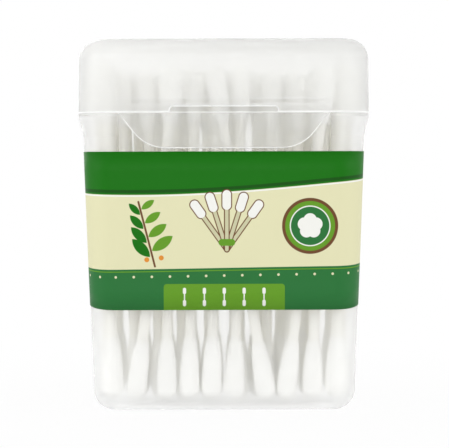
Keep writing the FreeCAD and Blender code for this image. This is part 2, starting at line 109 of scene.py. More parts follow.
# Places of the lamps round the box, the point that they face and the widths of their discs
KEY_PLACE, RIGHT_PLACE = (-0.14, -0.9, 0.24), (0.95, -0.3, 0.3)
LEFT_PLACE, BACK_PLACE = (-0.95, -0.3, 0.3), (-0.35, 0.95, 0.45)
LAMP_AIM, LAMP_WIDTH = (0.0, 0.0, 0.04), 0.7


def linear(colour):
    """Turns a colour as a screen shows it into the linear red, green, blue and alpha of a socket."""
    parts = [c / 12.92 if c <= 0.04045 else ((c + 0.055) / 1.055) ** 2.4 for c in colour]
    return (*parts, 1.0)


def darker(colour, share):
    """The linear colour with its screen values brought down to a share."""
    return linear([c * share for c in colour])


class Signal:
    """One output socket of a material, on which Python's operators add Math nodes."""

    def __init__(self, finish, made, output=0):
        self.finish = finish
        self.made = made
        self.socket = made.outputs[output] if made.outputs else None

    def output(self, key):
        """Another output of the node that this one comes from."""
        return Signal(self.finish, self.made, key)

    def __add__(self, other):
        return self.finish.maths("ADD", self, other)

    def __radd__(self, other):
        return self.finish.maths("ADD", other, self)

    def __sub__(self, other):
        return self.finish.maths("SUBTRACT", self, other)

    def __rsub__(self, other):
        return self.finish.maths("SUBTRACT", other, self)

    def __mul__(self, other):
        return self.finish.maths("MULTIPLY", self, other)

    def __rmul__(self, other):
        return self.finish.maths("MULTIPLY", other, self)

    def __truediv__(self, other):
        return self.finish.maths("DIVIDE", self, other)

    def __rtruediv__(self, other):
        return self.finish.maths("DIVIDE", other, self)

    def __pow__(self, power):
        return self.finish.maths("POWER", self, power)

    def __abs__(self):
        return self.finish.maths("ABSOLUTE", self)

    def larger(self, other):
        return self.finish.maths("MAXIMUM", self, other)

    def smaller(self, other):
        return self.finish.maths("MINIMUM", self, other)

    def root(self):
        return self.finish.maths("SQRT", self)

    def sine(self):
        return self.finish.maths("SINE", self)

    def cosine(self):
        return self.finish.maths("COSINE", self)

    def from_nearest(self, pitch):
        """Distance from the nearest whole multiple of the pitch."""
        return self.finish.maths("PINGPONG", self, pitch / 2)

    def held(self):
        """The same signal kept between 0 and 1."""
        return self.finish.maths("ADD", self, 0.0, clamp=True)


class Finish:
    """A material or world under way, in which every node comes from the method named node."""

    def __init__(self, tree):
        self.tree = tree
        self.tree.nodes.clear()

    def node(self, kind, settings=None, inputs=None, output=0):
        made = self.tree.nodes.new(kind)
        for key, setting in (settings or {}).items():
            setattr(made, key, setting)
        for key, content in (inputs or {}).items():
            if isinstance(content, Signal):
                self.tree.links.new(content.socket, made.inputs[key])
            else:
                made.inputs[key].default_value = content
        return Signal(self, made, output)

    def maths(self, operation, *terms, clamp=False):
        settings = {"operation": operation, "use_clamp": clamp}
        return self.node("ShaderNodeMath", settings, dict(enumerate(terms)))

    def blend(self, share, first, second):
        """The first colour where share is 0 and the second where it is 1."""
        settings = {"data_type": "RGBA", "clamp_factor": True}
        inputs = {0: share, COLOUR_A: first, COLOUR_B: second}
        return self.node("ShaderNodeMix", settings, inputs, COLOUR_MIXED)

    def parts(self, vector):
        """The X, Y and Z signals of a vector."""
        split = self.node("ShaderNodeSeparateXYZ", {}, {0: vector})
        return [split.output(axis) for axis in range(3)]

    def place(self):
        """Where a point of the piece is, in metres."""
        return self.node("ShaderNodeTexCoord", output="Object")

    def noise(self, place, scale, detail=2.0, roughness=0.5):
        inputs = {"Vector": place, "Scale": scale, "Detail": detail, "Roughness": roughness}
        return self.node("ShaderNodeTexNoise", {"noise_dimensions": "3D"}, inputs)

    def bump(self, height, distance, strength=1.0):
        inputs = {"Height": height, "Distance": distance, "Strength": strength}
        return self.node("ShaderNodeBump", {}, inputs)

    def end(self, kind, surface):
        self.node(kind, {}, {"Surface": surface})


def new_finish(name):
    material = bpy.data.materials.new(name)
    material.use_nodes = True
    return material, Finish(material.node_tree)


class PlasticFinish(bpy.types.PropertyGroup):
    """Look of the moulded box, lid and hinge."""

    body_tint: bpy.props.FloatVectorProperty(
        name="Body tint", description="Colour of the box's plastic", subtype="COLOR_GAMMA",
        default=(1.0, 1.0, 0.997), min=0.0, max=1.0)
    lid_tint: bpy.props.FloatVectorProperty(
        name="Lid tint", description="Colour of the lid's plastic", subtype="COLOR_GAMMA",
        default=(0.974, 0.974, 0.968), min=0.0, max=1.0)
    body_haze: bpy.props.FloatProperty(
        name="Body haze", description="Milkiness of each surface of the box",
        default=0.4, subtype="FACTOR", min=0.0, max=1.0)
    window_haze: bpy.props.FloatProperty(
        name="Window haze", description="Milkiness of the box in front of the tongue, above the label",
        default=0.2, subtype="FACTOR", min=0.0, max=1.0)
    window_reach: bpy.props.FloatProperty(
        name="Window reach", description="Half the width of the clearer part of the box's neck",
        default=25 * MM, unit="LENGTH")
    lid_haze: bpy.props.FloatProperty(
        name="Lid haze", description="Milkiness of each surface of the lid",
        default=0.7, subtype="FACTOR", min=0.0, max=1.0)
    tongue_haze: bpy.props.FloatProperty(
        name="Tongue haze", description="Milkiness of the thin tongue below the lid's edge",
        default=0.5, subtype="FACTOR", min=0.0, max=1.0)
    frost: bpy.props.FloatProperty(
        name="Frost", description="How far the walls blur what is seen through them",
        default=0.45, subtype="FACTOR", min=0.0, max=1.0)
    polish: bpy.props.FloatProperty(
        name="Polish", description="Strength of the gloss on the outer skin",
        default=0.5, subtype="FACTOR", min=0.0, max=1.0)
    forward: bpy.props.FloatProperty(
        name="Forward scatter", description="Share of the haze that passes light on",
        default=0.74, subtype="FACTOR", min=0.0, max=1.0)
    rim_haze: bpy.props.FloatProperty(
        name="Rim haze", description="How much milkier the plastic looks where it is seen edge-on",
        default=0.05, subtype="FACTOR", min=0.0, max=1.0)
    # The two bead widths below size the white beads that paint the highlights along the edges
    body_highlight_bead: bpy.props.FloatProperty(
        name="Body edge", description="Width of the bright rounding along the box's edges",
        default=0.22 * MM, unit="LENGTH")
    lid_highlight_bead: bpy.props.FloatProperty(
        name="Lid edge", description="Width of the bright rounding along the edges of lid and tongue",
        default=0.28 * MM, unit="LENGTH")
    bending: bpy.props.FloatProperty(
        name="Bending", description="How strongly the haze bends the light that it passes on",
        default=1.15, min=1.0, max=2.0)
    groove: bpy.props.FloatProperty(
        name="Hinge groove", description="Depth of the bending line in the hinge",
        default=0.1 * MM, unit="LENGTH")


class SwabFinish(bpy.types.PropertyGroup):
    """Shape and look of the swabs."""

    head_length: bpy.props.FloatProperty(
        name="Head length", description="Length of the cotton at each end",
        default=13.5 * MM, unit="LENGTH")
    head_width: bpy.props.FloatProperty(
        name="Head width", description="Widest diameter of the cotton", default=4.7 * MM, unit="LENGTH")
    stick_width: bpy.props.FloatProperty(
        name="Stick width", description="Diameter of the paper stick", default=2.5 * MM, unit="LENGTH")
    unevenness: bpy.props.FloatProperty(
        name="Unevenness", description="How far the winding of the cotton strays",
        default=0.055 * MM, unit="LENGTH")
    sides: bpy.props.IntProperty(
        name="Sides", description="Faces round each swab", default=28, min=8)
    seed: bpy.props.IntProperty(name="Seed", description="Start of the random winding", default=11)
    cotton: bpy.props.FloatVectorProperty(
        name="Cotton", description="Colour of the cotton", subtype="COLOR_GAMMA",
        default=(0.998, 0.997, 0.99), min=0.0, max=1.0)
    paper: bpy.props.FloatVectorProperty(
        name="Paper", description="Colour of the stick", subtype="COLOR_GAMMA",
        default=(0.996, 0.992, 0.972), min=0.0, max=1.0)


class LabelFinish(bpy.types.PropertyGroup):
    """Print and paper of the label that is wrapped round the box."""

    draft: bpy.props.FloatProperty(
        name="Draft", description="Lean of the walls that the label follows",
        default=math.radians(2.1), subtype="ANGLE")
    base_corner: bpy.props.FloatProperty(
        name="Base corner", description="Radius of the box's upright corners at the floor",
        default=5.4 * MM, unit="LENGTH")
    thickness: bpy.props.FloatProperty(
        name="Thickness", description="Thickness of the paper", default=0.12 * MM, unit="LENGTH")
    corner_rise: bpy.props.FloatProperty(
        name="Corner rise", description="How much higher the lower edge runs on the sides than in front",
        default=0.85 * MM, unit="LENGTH")
    overlap: bpy.props.FloatProperty(
        name="Overlap", description="Length glued over the start at the back",
        default=7.0 * MM, unit="LENGTH")
    deep_green: bpy.props.FloatVectorProperty(
        name="Deep green", description="Colour of the upper band", subtype="COLOR_GAMMA",
        default=(0.05, 0.42, 0.0), min=0.0, max=1.0)
    foot_green: bpy.props.FloatVectorProperty(
        name="Foot green", description="Colour of the lower band", subtype="COLOR_GAMMA",
        default=(0.155, 0.435, 0.21), min=0.0, max=1.0)
    leaf_green: bpy.props.FloatVectorProperty(
        name="Leaf green", description="Colour of the bright panel and leaves", subtype="COLOR_GAMMA",
        default=(0.38, 0.59, 0.14), min=0.0, max=1.0)
    cream: bpy.props.FloatVectorProperty(
        name="Cream", description="Colour of the field between the bands", subtype="COLOR_GAMMA",
        default=(0.872, 0.862, 0.708), min=0.0, max=1.0)
    brown: bpy.props.FloatVectorProperty(
        name="Brown", description="Colour of stems and rings", subtype="COLOR_GAMMA",
        default=(0.42, 0.27, 0.16), min=0.0, max=1.0)
    amber: bpy.props.FloatVectorProperty(
        name="Amber", description="Colour of the berries", subtype="COLOR_GAMMA",
        default=(0.86, 0.55, 0.2), min=0.0, max=1.0)
    white: bpy.props.FloatVectorProperty(
        name="White", description="Colour of the bare paper", subtype="COLOR_GAMMA",
        default=(0.93, 0.93, 0.91), min=0.0, max=1.0)


class StageSetup(bpy.types.PropertyGroup):
    """Floor, light and camera."""

    floor_radius: bpy.props.FloatProperty(
        name="Floor radius", description="Size of the round floor", default=4.0, unit="LENGTH")
    floor_white: bpy.props.FloatProperty(
        name="Floor whiteness", description="Share of the floor's shadow that is lightened",
        default=0.92, subtype="FACTOR", min=0.0, max=1.0)
    shadow_reach: bpy.props.FloatProperty(
        name="Shadow reach", description="Distance at which the floor is white again",
        default=0.16, unit="LENGTH")
    surround: bpy.props.FloatProperty(
        name="Surround", description="Strength of the even light from all sides", default=0.79, min=0.0)
    key_power: bpy.props.FloatProperty(
        name="Key lamp", description="Power of the large lamp above at the front",
        default=1.7, unit="POWER")
    side_power: bpy.props.FloatProperty(
        name="Side lamps", description="Power of each lamp at the sides", default=2.0, unit="POWER")
    back_power: bpy.props.FloatProperty(
        name="Back lamp", description="Power of the lamp behind", default=1.2, unit="POWER")
    distance: bpy.props.FloatProperty(
        name="Camera distance", description="From the camera to its target", default=0.45, unit="LENGTH")
    azimuth: bpy.props.FloatProperty(
        name="Azimuth", description="Camera's turn to the right of the front",
        default=math.radians(-0.159), subtype="ANGLE")
    elevation: bpy.props.FloatProperty(
        name="Elevation", description="Camera's height above level",
        default=math.radians(1.596), subtype="ANGLE")
    roll: bpy.props.FloatProperty(
        name="Roll", description="Camera's turn about its own view",
        default=math.radians(-0.159), subtype="ANGLE")
    focal_pixels: bpy.props.FloatProperty(
        name="Focal length", description="Focal length counted in the picture's pixels", default=1965.9)
    target: bpy.props.FloatVectorProperty(
        name="Target", description="Point in the middle of the picture",
        default=(0.139 * MM, 0.0, 41.328 * MM), subtype="TRANSLATION")


def above(height, limit):
    """Mask of what is higher than the limit."""
    return ((height - limit) / (0.1 * MM)).held()


def moulded_plastic(name, look, tint, haze_at):
    """Clear polypropylene with a milky haze that drifts a little, and the mould's fine texture."""
    material, finish = new_finish(name)
    place = finish.place()
    flow = finish.noise(place, HAZE_DRIFT, detail=3.0)
    grain = finish.noise(place, MOULD_GRAIN)
    drift = 0.8 + flow * 0.4
    milk = (haze_at(*finish.parts(place)) * drift).held()
    rim = finish.node("ShaderNodeLayerWeight", {}, {"Blend": 0.5}, "Facing") ** 3.0
    milk = milk + (1.0 - milk) * rim * look.rim_haze
    normal = finish.bump(flow * 0.8 + grain * 0.2, 0.02 * MM, 0.5)
    surface = finish.node("ShaderNodeBsdfPrincipled", {}, {
        "Base Color": linear(tint), "Roughness": (look.frost * drift).held(),
        "IOR": look.bending, "Transmission Weight": look.forward, "Coat Weight": look.polish,
        "Coat Roughness": 0.15, "Alpha": milk, "Normal": normal,
    })
    finish.end("ShaderNodeOutputMaterial", surface)
    return material


def painted_edge_highlight():
    """Painted highlight along a moulded edge: near-opaque white that stands in for the light the edge
    catches.
    """
    material, finish = new_finish("painted_edge_highlight")
    place = finish.place()
    drift = finish.noise(place, EDGE_DRIFT)
    # Near-opaque white paints the highlight that the edge catches
    surface = finish.node("ShaderNodeBsdfPrincipled", {}, {
        "Base Color": (1.0, 1.0, 1.0, 1.0), "Roughness": (0.25 + drift * 0.2).held(),
        "Alpha": (0.65 + drift * 0.5).held(),
    })
    finish.end("ShaderNodeOutputMaterial", surface)
    return material


def wound_cotton(look):
    """Matt cotton with fibres wound round the head."""
    material, finish = new_finish("wound_cotton")
    place = finish.place()
    across, along, height = finish.parts(place)
    wound = finish.node("ShaderNodeCombineXYZ", {}, {0: across, 1: along, 2: height * 3.0})
    fibres = finish.noise(wound, COTTON_FIBRES, detail=4.0, roughness=0.65)
    tufts = finish.noise(place, COTTON_TUFTS, detail=3.0)
    shade = finish.blend((tufts - 0.35) * 1.6, darker(look.cotton, 0.965), linear(look.cotton))
    normal = finish.bump(fibres * 0.6 + tufts, 0.09 * MM, 0.7)
    surface = finish.node("ShaderNodeBsdfPrincipled", {}, {
        "Base Color": shade, "Roughness": 0.95, "Sheen Weight": 0.35, "Sheen Roughness": 0.6,
        "Specular IOR Level": 0.15, "Normal": normal,
    })
    finish.end("ShaderNodeOutputMaterial", surface)
    return material


def rolled_paper(look):
    """Tightly rolled paper with its edge showing as a faint slanting line."""
    material, finish = new_finish("rolled_paper")
    place = finish.place()
    across, along, height = finish.parts(place)
    turn = finish.maths("ARCTAN2", along, across)
    edge = 1.0 - abs((turn + height * 70.0).sine()) * 14.0
    pulp = finish.noise(place, PAPER_PULP, detail=3.0)
    shade = finish.blend(pulp * 0.5 + edge.held() * 0.5, linear(look.paper), darker(look.paper, 0.95))
    normal = finish.bump(pulp * 0.5 - edge.held(), 0.03 * MM, 0.6)
    surface = finish.node("ShaderNodeBsdfPrincipled", {}, {
        "Base Color": shade, "Roughness": 0.8, "Specular IOR Level": 0.25, "Normal": normal,
    })
    finish.end("ShaderNodeOutputMaterial", surface)
    return material


def inside(distance):
    """Mask of a printed shape from its signed distance in millimetres."""
    return (0.5 - distance / PRINT_EDGE).held()


def disc(across, up, centre, radius):
    """Distance to a disc's rim, less than 0 within it, as in the other printed shapes."""
    x, y = across - centre[0], up - centre[1]
    return (x * x + y * y).root() - radius


def capsule(across, up, start, end, radius):
    """Distance to a round-ended bar from start to end."""
    run, rise = end[0] - start[0], end[1] - start[1]
    x, y = across - start[0], up - start[1]
    share = ((x * run + y * rise) / (run * run + rise * rise)).held()
    x, y = x - share * run, y - share * rise
    return (x * x + y * y).root() - radius


def leaf(across, up, centre, length, width, angle):
    """Distance to a pointed leaf, where two equal arcs meet."""
    cos, sin = math.cos(angle), math.sin(angle)
    x, y = across - centre[0], up - centre[1]
    along, aside = abs(x * cos + y * sin), abs(y * cos - x * sin)
    radius = (length * length + width * width) / (4 * width)
    offset = aside + (radius - width / 2)
    return (along * along + offset * offset).root() - radius


def rounded_plate(across, up, centre, half, corner):
    """Distance to a rectangle with rounded corners, from half its width and height."""
    x = (abs(across - centre[0]) - (half[0] - corner)).larger(0.0)
    y = (abs(up - centre[1]) - (half[1] - corner)).larger(0.0)
    return (x * x + y * y).root() - corner


def swab_sign(across, up, foot, length, angle):
    """Distances to a small printed swab that stands on its foot: its stick, then its upper head."""
    reach = (math.sin(angle) * length, math.cos(angle) * length)
    neck = (foot[0] + 0.8 * reach[0], foot[1] + 0.8 * reach[1])
    tip = (foot[0] + reach[0], foot[1] + reach[1])
    stick_radius, head_radius = length * 0.032, length * 0.078
    return capsule(across, up, foot, neck, stick_radius), capsule(across, up, neck, tip, head_radius)


class Print:
    """The printed sheet under way: its coordinates in millimetres and the colour laid down so far."""

    def __init__(self, finish, look, across, up):
        self.finish = finish
        self.look = look
        self.across = across
        self.up = up
        self.paint = linear(look.cream)

    def lay(self, distance, colour):
        """Prints the shape that a distance gives, in one linear colour, over what is there."""
        self.paint = self.finish.blend(inside(distance), self.paint, colour)

    def line(self, edge, place, colour):
        """Prints a thin line along a band's edge, from its height over the edge and half its width."""
        height, half_width = place
        self.lay(abs(self.up - edge - height) - half_width, colour)

    def bands(self, turn, full):
        """The two green bands, whose edges wave round the box, with the lines and dots along them."""
        look = self.look
        wave = full - UPPER_DROP - (turn + UPPER_TURN).cosine() * UPPER_SWING
        foot = FOOT_HEIGHT + turn.sine() * FOOT_SWING
        self.lay(self.up - foot, linear(look.foot_green))
        self.lay(wave - self.up, linear(look.deep_green))
        self.line(wave, WHITE_LINE, linear(look.white))
        self.line(wave, DARK_LINE, darker(look.deep_green, 0.72))
        plate = rounded_plate(self.across, self.up, PANEL_MIDDLE, PANEL_HALF, PANEL_CORNER)
        self.lay(plate, linear(look.leaf_green))
        self.swab_row()
        dots = disc(self.across.from_nearest(DOT_PITCH), self.up - foot, (0.0, DOT_HEIGHT), DOT_RADIUS)
        self.lay(dots, linear(look.cream))
        self.line(foot, FOOT_LINE, linear(look.leaf_green))

    def swab_row(self):
        """Small upright swabs on the panel, side by side."""
        aside = self.across.from_nearest(ROW_PITCH)
        low, high = ROW_STICK
        swabs = capsule(aside, self.up, (0.0, low), (0.0, high), ROW_STICK_RADIUS)
        for low, high in ROW_HEADS:
            swabs = swabs.smaller(capsule(aside, self.up, (0.0, low), (0.0, high), ROW_HEAD_RADIUS))
        self.lay(swabs.larger(abs(self.across) - ROW_REACH), linear(self.look.white))

    def sprig(self, middle):
        """A stem with four pairs of leaves that get smaller upward, and two berries at its foot."""
        x, y = middle
        look = self.look
        stem_foot, stem_tip, stem_radius = (x + 3.2, y - 7.9), (x - 0.4, y + 6.4), 0.22
        pair_pitch, stem_slant = 3.1, 0.247
        longest, shrink, plumpness = 5.6, 0.7, 0.42
        self.lay(capsule(self.across, self.up, stem_foot, stem_tip, stem_radius), linear(look.brown))
        for pair in range(4):
            climb = pair * pair_pitch
            length = longest - pair * shrink
            stem_x = x + 2.5 - stem_slant * climb
            for side, lean, tone in ((-1, 2.35, look.deep_green), (1, 0.62, look.leaf_green)):
                centre = (stem_x + side * length * 0.42, y - 5.2 + climb + length * 0.34 + side * 0.5)
                shape = leaf(self.across, self.up, centre, length, length * plumpness, lean)
                self.lay(shape, linear(tone))
        berry_radius = 0.55
        for aside, drop in ((1.4, -6.4), (4.6, -6.0)):
            berry = disc(self.across, self.up, (x + aside, y + drop), berry_radius)
            self.lay(berry, linear(look.amber))

    def fan(self, foot):
        """Five swabs spread from one foot, outlined in brown, with a knot round their sticks."""
        x, y = foot
        length, outline = 12.2, 0.24
        for angle in (-0.62, 0.62, -0.31, 0.31, 0.0):
            stick, head = swab_sign(self.across, self.up, foot, length, angle)
            self.lay(stick.smaller(head) - outline, linear(self.look.brown))
            self.lay(stick, darker(self.look.cream, 0.9))
            self.lay(head, linear(self.look.white))
        knot_height, knot_reach, knot_radius = y + 1.6, 1.1, 0.75
        knot_ends = (x - knot_reach, knot_height), (x + knot_reach, knot_height)
        self.lay(capsule(self.across, self.up, *knot_ends, knot_radius), linear(self.look.leaf_green))

    def badge(self, middle):
        """A round sign of four rings with a puff of cotton in it."""
        x, y = middle
        look = self.look
        away = disc(self.across, self.up, middle, 0.0)
        rings = ((6.2, look.brown), (5.5, look.leaf_green), (4.5, look.white), (4.25, look.foot_green))
        for radius, tone in rings:
            self.lay(away - radius, linear(tone))
        tufts, tuft_reach, tuft_radius = 5, 1.35, 1.45
        for tuft in range(tufts):
            spoke = math.pi * (0.5 + 2 * tuft / tufts)
            centre = (x + tuft_reach * math.cos(spoke), y + tuft_reach * math.sin(spoke))
            self.lay(disc(self.across, self.up, centre, tuft_radius), linear(look.white))


def label_print(look, run, round_length, height):
    """Print of the label: bands of colour with a sprig, a fan of swabs and a round sign."""
    material, finish = new_finish("label_print")
    share, rise, _ = finish.parts(finish.node("ShaderNodeUVMap", {"uv_map": "print"}))
    across = share * (run / MM) - round_length / MM / 2
    up = rise * (height / MM)
    turn = across * (2 * math.pi * MM / round_length)
    sheet = Print(finish, look, across, up)
    sheet.bands(turn, height / MM)
    sheet.sprig(SPRIG_MIDDLE)
    sheet.fan(FAN_FOOT)
    sheet.badge(BADGE_MIDDLE)

    place = finish.place()
    fibre = finish.noise(place, LABEL_FIBRE)
    waves = finish.noise(place, LABEL_WAVES, detail=1.0)
    surface = finish.node("ShaderNodeBsdfPrincipled", {}, {
        "Base Color": sheet.paint, "Roughness": (0.38 + fibre * 0.16).held(), "Specular IOR Level": 0.16,
        "Normal": finish.bump(fibre * 0.12 + waves, 0.05 * MM, 0.6),
    })
    finish.end("ShaderNodeOutputMaterial", surface)
    return material


def bare_paper(look):
    """Unprinted back of the label."""
    material, finish = new_finish("label_back")
    place = finish.place()
    fibre = finish.noise(place, BACK_FIBRE, detail=3.0)
    shade = finish.blend(fibre, linear(look.white), darker(look.white, 0.95))
    surface = finish.node("ShaderNodeBsdfPrincipled", {}, {
        "Base Color": shade, "Roughness": 0.75, "Normal": finish.bump(fibre, 0.02 * MM),
    })
    finish.end("ShaderNodeOutputMaterial", surface)
    return material


def new_piece(name, points, faces, materials, smooth=True):
    """A mesh object in the scene, with its faces turned outward by their order."""
    mesh = bpy.data.meshes.new(name)
    mesh.from_pydata([tuple(p) for p in points], [], faces)
    for material in materials:
        mesh.materials.append(material)
    mesh.polygons.foreach_set("use_smooth", [smooth] * len(mesh.polygons))
    mesh.update()
    piece = bpy.data.objects.new(name, mesh)
    bpy.context.scene.collection.objects.link(piece)
    return piece


def node_axis(node):
    """The two ends of a long slim node, lower one first."""
    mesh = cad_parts[node].data
    points = np.empty(len(mesh.vertices) * 3)
    mesh.vertices.foreach_get("co", points)
    points = np.unique(points.reshape(-1, 3).round(7), axis=0)
    middle = points.mean(axis=0)
    _, _, axes = np.linalg.svd(points - middle, full_matrices=False)
    axis = axes[0] * np.sign(axes[0][2])
    along = (points - middle) @ axis
    near_end = 0.3 * MM
    low = points[along < along.min() + near_end].mean(axis=0)
    high = points[along > along.max() - near_end].mean(axis=0)
    return Vector(low), Vector(high)


def swab_profile(look, length, draw):
    """Distances from the foot and radii of one swab's rings, and where the cotton stops at each end."""
    stick = look.stick_width / 2
    neck = stick * 1.05
    places, radii = [], []
    head_lengths = [look.head_length * draw.uniform(0.93, 1.04) for _ in range(2)]
    for head_length in head_lengths:
        widest = look.head_width / 2 * draw.uniform(0.96, 1.0)
        crest = HEAD_CREST * head_length
        shares = [1 - math.cos(math.pi / 2 * i / DOME_RINGS) for i in range(1, DOME_RINGS + 1)]
        rise = [crest * share for share in shares]
        dome = [widest * (1 - (1 - share) ** DOME_POWERS[0]) ** DOME_POWERS[1] for share in shares]
        shares = [i / TAPER_RINGS for i in range(1, TAPER_RINGS + 1)]
        fall = [crest + (head_length - crest) * share for share in shares]
        taper = [(1 - share ** TAPER_POWERS[0]) ** TAPER_POWERS[1] for share in shares]
        places.append(rise + fall)
        radii.append(dome + [neck + (widest - neck) * share for share in taper])
    low_places, high_places = places[0], [length - s for s in reversed(places[1])]
    span = high_places[0] - low_places[-1]
    step = 0.06 * MM
    bare = span - 2 * step
    stick_places = [low_places[-1] + step + bare * i / (STICK_RINGS - 1) for i in range(STICK_RINGS)]
    rings = low_places + stick_places + high_places
    widths = radii[0] + [stick] * len(stick_places) + list(reversed(radii[1]))
    return rings, widths, head_lengths


def turned_swab(name, look, length, draw, materials):
    """One swab: rings round its axis, wound unevenly where there is cotton."""
    rings, widths, heads = swab_profile(look, length, draw)
    sides = look.sides
    phases = [draw.uniform(0, 2 * math.pi) for _ in range(6)]
    points = [(0.0, 0.0, 0.0)]
    for place, width in zip(rings, widths):
        from_end = min(place, length - place)
        head = heads[0] if place < length / 2 else heads[1]
        shift = 3 if place < length / 2 else 0
        cotton = max(0.0, 1 - from_end / head) ** 0.35 if from_end < head else 0.0
        fade = min(1.0, from_end / (0.12 * head))
        for i in range(sides):
            turn = 2 * math.pi * i / sides
            winding = math.sin(3 * turn + 2 * math.pi * from_end / WINDING[0] + phases[shift])
            lump = math.sin(2 * turn - from_end / LUMPS[0] + phases[shift + 1])
            ridge = math.sin(5 * turn - from_end / RIDGES[0] + phases[shift + 2])
            waves = WINDING[1] * winding + LUMPS[1] * lump + RIDGES[1] * ridge - 0.6
            radius = width + look.unevenness * cotton * fade * waves
            points.append((radius * math.cos(turn), radius * math.sin(turn), place))
    points.append((0.0, 0.0, length))
    faces = [(0, 1 + (i + 1) % sides, 1 + i) for i in range(sides)]
    for ring in range(len(rings) - 1):
        first, second = 1 + ring * sides, 1 + (ring + 1) * sides
        for i in range(sides):
            j = (i + 1) % sides
            faces.append((first + i, first + j, second + j, second + i))
    last = 1 + (len(rings) - 1) * sides
    faces += [(last + i, last + (i + 1) % sides, len(points) - 1) for i in range(sides)]
    piece = new_piece(name, points, faces, materials)
    for polygon in piece.data.polygons:
        height = polygon.center.z
        on_stick = heads[0] < height < length - heads[1]
        polygon.material_index = 1 if on_stick else 0
    return piece


def sharp_runs(node, least_turn):
    """Chains of points along the sharp edges of a node's mesh."""
    form = bmesh.new()
    form.from_mesh(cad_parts[node].data)
    bmesh.ops.remove_doubles(form, verts=form.verts, dist=0.001 * MM)
    sharp = [e for e in form.edges if len(e.link_faces) == 2 and e.calc_face_angle() > least_turn]
    links = {}
    for edge in sharp:
        for vertex in edge.verts:
            links.setdefault(vertex.index, []).append(edge)
    places = {v.index: v.co.copy() for e in sharp for v in e.verts}
    unused = {e.index for e in sharp}
    starts = sorted(links, key=lambda index: (len(links[index]) == 2, index))
    runs = []
    for start in starts:
        for first in links[start]:
            if first.index not in unused:
                continue
            here, edge, run = start, first, [start]
            while edge is not None:
                unused.discard(edge.index)
                here = next(v.index for v in edge.verts if v.index != here)
                run.append(here)
                onward = [e for e in links[here] if e.index in unused]
                edge = onward[0] if len(links[here]) == 2 and onward else None
            runs.append([places[index] for index in run])
    form.free()
    return runs


def clear_chains(run, left_out):
    """The parts of a run between the points that are left out, each with whether it is a closed ring."""
    closed = len(run) > 3 and (run[0] - run[-1]).length == 0
    points = run[:-1] if closed else run
    gaps = [index for index, point in enumerate(points) if left_out(point)]
    if not gaps:
        return [(points, closed)]
    if closed:
        points = points[gaps[0]:] + points[:gaps[0]]
    chains, chain = [], []
    for point in points:
        if left_out(point):
            chains.append((chain, False))
            chain = []
        else:
            chain.append(point)
    chains.append((chain, False))
    return [(chain, ring) for chain, ring in chains if len(chain) > 1]


def painted_highlight_beads(name, node, width):
    """Hair-thin round bead along the sharp edges of a piece that paints their highlight, but not under its
    foot or at the hinge.
    """

    def left_out(point):
        at_hinge = point.y > HINGE_LOW.y - 0.1 * MM and abs(point.z - HINGE_Z) < HINGE_CLEARANCE
        return at_hinge or point.z < LABEL_LOW.z

    curve = bpy.data.curves.new(name, "CURVE")
    curve.dimensions = "3D"
    curve.bevel_depth = width / 2
    curve.bevel_resolution = 1
    curve.use_fill_caps = True
    runs = sharp_runs(node, SHARP_TURN)
    for points, closed in [chain for run in runs for chain in clear_chains(run, left_out)]:
        spline = curve.splines.new("POLY")
        spline.points.add(len(points) - 1)
        for target, point in zip(spline.points, points):
            target.co = (*point, 1.0)
        spline.use_cyclic_u = closed
    piece = bpy.data.objects.new(name, curve)
    bpy.context.scene.collection.objects.link(piece)
    # The beads' white finish paints the edges' highlights
    curve.materials.append(painted_edge_highlight())
    return piece


def wrapped_outline(half_width, half_depth, corner, overlap, lift):
    """Path of the label from the middle of the back, by the left, front and right, to its glued end."""
    flat, bend = 14, 12
    path = [(-x, half_depth) for x in np.linspace(0.0, half_width - corner, flat)]
    corners = [
        (-1, 1, 90, (-half_width, -(half_depth - corner))),
        (-1, -1, 180, (half_width - corner, -half_depth)),
        (1, -1, 270, (half_width, half_depth - corner)),
        (1, 1, 0, (0.0, half_depth)),
    ]
    for side, end, start, next_point in corners:
        centre = (side * (half_width - corner), end * (half_depth - corner))
        for step in range(1, bend + 1):
            angle = math.radians(start + 90 * step / bend)
            path.append((centre[0] + corner * math.cos(angle), centre[1] + corner * math.sin(angle)))
        last_point = path[-1]
        for step in range(1, flat + 1):
            share = step / flat
            path.append(tuple(a + (b - a) * share for a, b in zip(last_point, next_point)))
    # The glued end leaves the wall a little before it climbs over its start
    path[-1] = (1.2 * MM, half_depth)
    path += [(-x, half_depth + lift) for x in np.linspace(0.0, overlap, 6)]
    return np.array(path)


